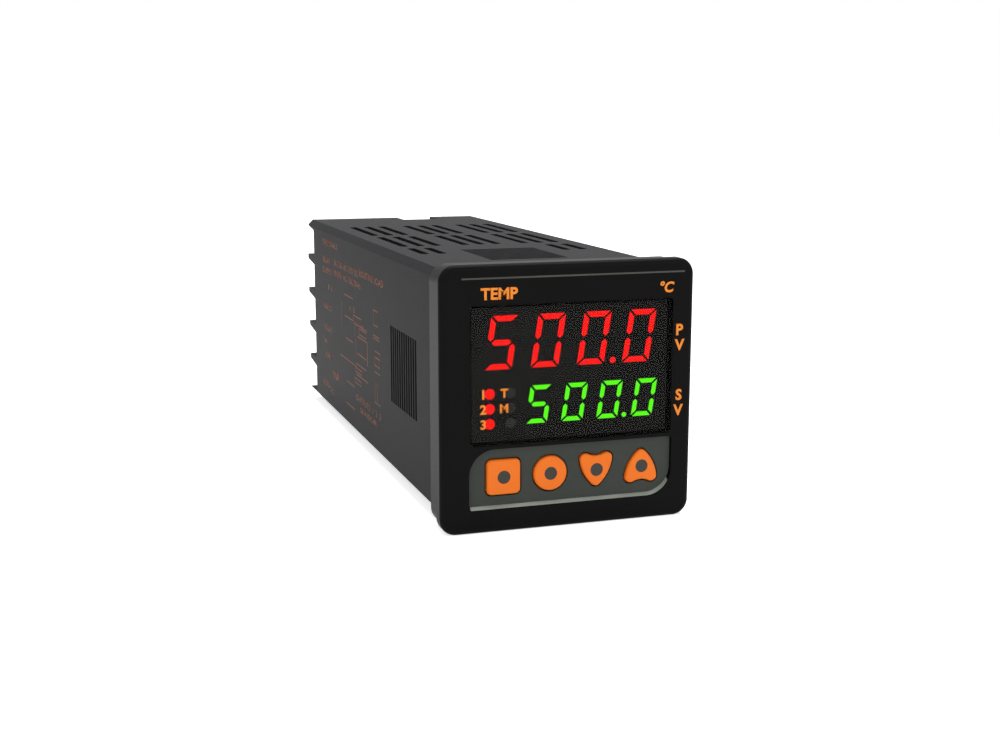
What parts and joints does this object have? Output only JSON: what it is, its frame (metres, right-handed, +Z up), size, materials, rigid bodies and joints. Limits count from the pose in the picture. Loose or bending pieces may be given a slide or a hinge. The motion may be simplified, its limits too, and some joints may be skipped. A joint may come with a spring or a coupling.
{
  "type": "panel-mount temperature controller",
  "caption": "Square panel-mount temperature controller with a two-line display, round lamps, recessed keys, a vented sleeve and finned rear terminals.",
  "frame": {"origin": "centre of the panel plane, where the flange's rear face meets the panel", "axes": "+Y from the panel towards the rear terminals, so the front faces -Y; +Z up; +X to the right as seen from the front"},
  "size_m": [0.048, 0.1292, 0.048],
  "materials": {
    "bezel_abs": "fine satin moulding",
    "housing_abs": "fine spark-eroded texture",
    "smoked_acrylic": "polished smoked acrylic",
    "plate_grey": "satin grey",
    "key_orange": "satin orange silicone",
    "readout_black": "matt black",
    "lit_red": "lit red",
    "lit_green": "lit green",
    "unlit_lens": "smoked unlit lens",
    "circuit_board": "green solder mask on glass epoxy",
    "chip_black": "moulded epoxy",
    "header_plastic": "black nylon",
    "tag_brass": "tin-flashed brass",
    "clamp_steel": "zinc plate",
    "screw_steel": "zinc plate",
    "ferrite": "sintered ferrite",
    "winding_tape": "yellow polyester tape",
    "capacitor_sleeve": "dark blue shrink sleeve",
    "filter_box": "yellow box film capacitor",
    "varistor_blue": "blue epoxy dip",
    "relay_case": "black relay case",
    "switch_plastic": "black switch body",
    "plunger_plastic": "white plunger"
  },
  "bodies": {
    "controller": {"front_bezel": "bezel_abs", "display_window": "smoked_acrylic", "keypad_plate": "plate_grey", "upper_readout": "readout_black", "upper_segments": "lit_red", "lower_readout": "readout_black", "lower_segments": "lit_green", "lamp_shroud": "readout_black", "display_board": "circuit_board", "controller_chip": "chip_black", "housing_sleeve": "housing_abs", "terminal_block": "housing_abs", "terminal_tags": "tag_brass", "clamp_plates": "clamp_steel", "terminal_screws": "screw_steel", "power_board": "circuit_board", "io_board": "circuit_board", "power_header": "header_plastic", "io_header": "header_plastic", "transformer_core": "ferrite", "transformer_winding": "winding_tape", "smoothing_capacitor": "capacitor_sleeve", "filter_capacitor": "filter_box", "varistor": "varistor_blue", "signal_converter": "chip_black", "output_relay_1": "relay_case", "output_relay_2": "relay_case", "lamp_lit_1": "lit_red", "lamp_lit_2": "lit_red", "lamp_lit_3": "lit_red", "lamp_unlit_1": "unlit_lens", "lamp_unlit_2": "unlit_lens", "lamp_unlit_3": "unlit_lens", "switch_body_square": "switch_plastic", "switch_body_round": "switch_plastic", "switch_body_down": "switch_plastic", "switch_body_up": "switch_plastic"},
    "square_key": {"key_square": "key_orange", "switch_plunger_square": "plunger_plastic"},
    "round_key": {"key_round": "key_orange", "switch_plunger_round": "plunger_plastic"},
    "down_key": {"key_down": "key_orange", "switch_plunger_down": "plunger_plastic"},
    "up_key": {"key_up": "key_orange", "switch_plunger_up": "plunger_plastic"}
  },
  "joints": [
    {"name": "square_key_press", "type": "slide", "parent": "controller", "child": "square_key", "axis": [0, 1, 0], "range_m": [0, 0.0005], "stiffness_N_per_m": 600, "springref_m": -0.0008},
    {"name": "round_key_press", "type": "slide", "parent": "controller", "child": "round_key", "axis": [0, 1, 0], "range_m": [0, 0.0005], "stiffness_N_per_m": 600, "springref_m": -0.0008},
    {"name": "down_key_press", "type": "slide", "parent": "controller", "child": "down_key", "axis": [0, 1, 0], "range_m": [0, 0.0005], "stiffness_N_per_m": 600, "springref_m": -0.0008},
    {"name": "up_key_press", "type": "slide", "parent": "controller", "child": "up_key", "axis": [0, 1, 0], "range_m": [0, 0.0005], "stiffness_N_per_m": 600, "springref_m": -0.0008}
  ]
}
